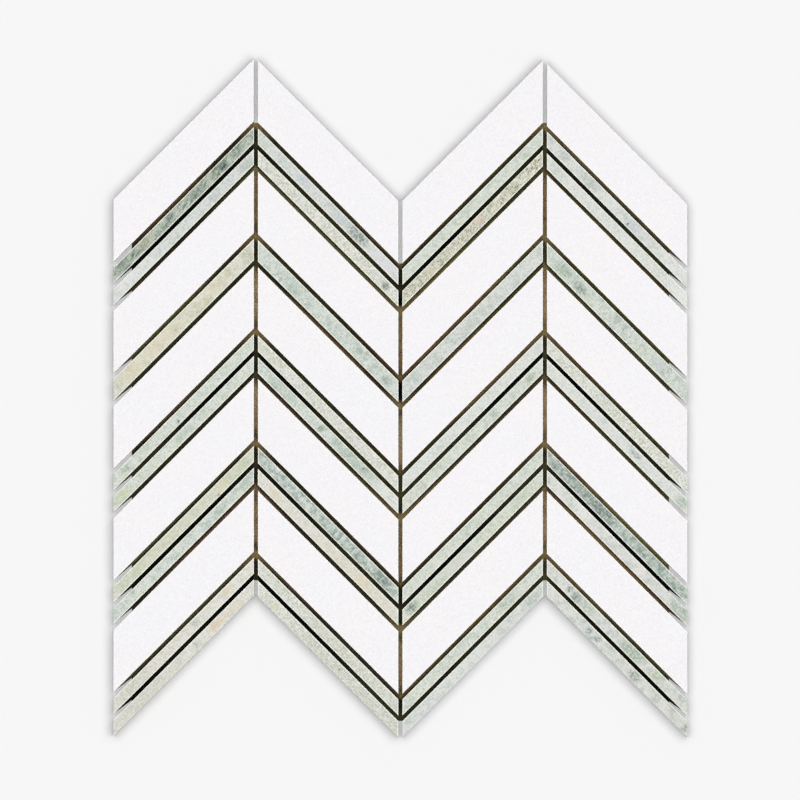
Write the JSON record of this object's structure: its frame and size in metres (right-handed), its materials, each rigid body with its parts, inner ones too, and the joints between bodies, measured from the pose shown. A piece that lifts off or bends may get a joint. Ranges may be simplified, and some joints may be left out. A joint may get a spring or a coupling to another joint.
{
  "type": "chevron wall tile",
  "caption": "Mesh-mounted mosaic sheet of mitred white and pale green marble pieces set as chevrons, bonded to a wall and interlocked with sheets like it.",
  "frame": {"origin": "middle of the underside of the sheet, on the plane of the backing's lower face", "axes": "+Z out of the polished face, +Y along the chevron points up the wall, +X to the right seen from the face"},
  "size_m": [0.298, 0.3524, 0.01],
  "materials": {
    "white_marble": "honed, fine crystal grain",
    "green_marble": "honed, mottled and streaked",
    "mesh_backing": "glass-fibre net set in brown resin"
  },
  "bodies": {
    "root": {"mesh_backing": "mesh_backing", "col1_white_bar_1": "white_marble", "col1_white_bar_2": "white_marble", "col1_white_bar_3": "white_marble", "col1_white_bar_4": "white_marble", "col1_white_bar_5": "white_marble", "col1_green_strip_1": "green_marble", "col1_green_strip_2": "green_marble", "col1_green_strip_3": "green_marble", "col1_green_strip_4": "green_marble", "col1_green_strip_5": "green_marble", "col1_green_strip_6": "green_marble", "col1_green_strip_7": "green_marble", "col1_green_strip_8": "green_marble", "col1_wide_green_strip": "green_marble", "col2_white_bar_1": "white_marble", "col2_white_bar_2": "white_marble", "col2_white_bar_3": "white_marble", "col2_white_bar_4": "white_marble", "col2_white_bar_5": "white_marble", "col2_green_strip_1": "green_marble", "col2_green_strip_2": "green_marble", "col2_green_strip_3": "green_marble", "col2_green_strip_4": "green_marble", "col2_green_strip_5": "green_marble", "col2_green_strip_6": "green_marble", "col2_green_strip_7": "green_marble", "col2_green_strip_8": "green_marble", "col2_wide_green_strip": "green_marble", "col3_white_bar_1": "white_marble", "col3_white_bar_2": "white_marble", "col3_white_bar_3": "white_marble", "col3_white_bar_4": "white_marble", "col3_white_bar_5": "white_marble", "col3_green_strip_1": "green_marble", "col3_green_strip_2": "green_marble", "col3_green_strip_3": "green_marble", "col3_green_strip_4": "green_marble", "col3_green_strip_5": "green_marble", "col3_green_strip_6": "green_marble", "col3_green_strip_7": "green_marble", "col3_green_strip_8": "green_marble", "col3_wide_green_strip": "green_marble", "col4_white_bar_1": "white_marble", "col4_white_bar_2": "white_marble", "col4_white_bar_3": "white_marble", "col4_white_bar_4": "white_marble", "col4_white_bar_5": "white_marble", "col4_green_strip_1": "green_marble", "col4_green_strip_2": "green_marble", "col4_green_strip_3": "green_marble", "col4_green_strip_4": "green_marble", "col4_green_strip_5": "green_marble", "col4_green_strip_6": "green_marble", "col4_green_strip_7": "green_marble", "col4_green_strip_8": "green_marble", "col4_wide_green_strip": "green_marble"}
  },
  "joints": []
}
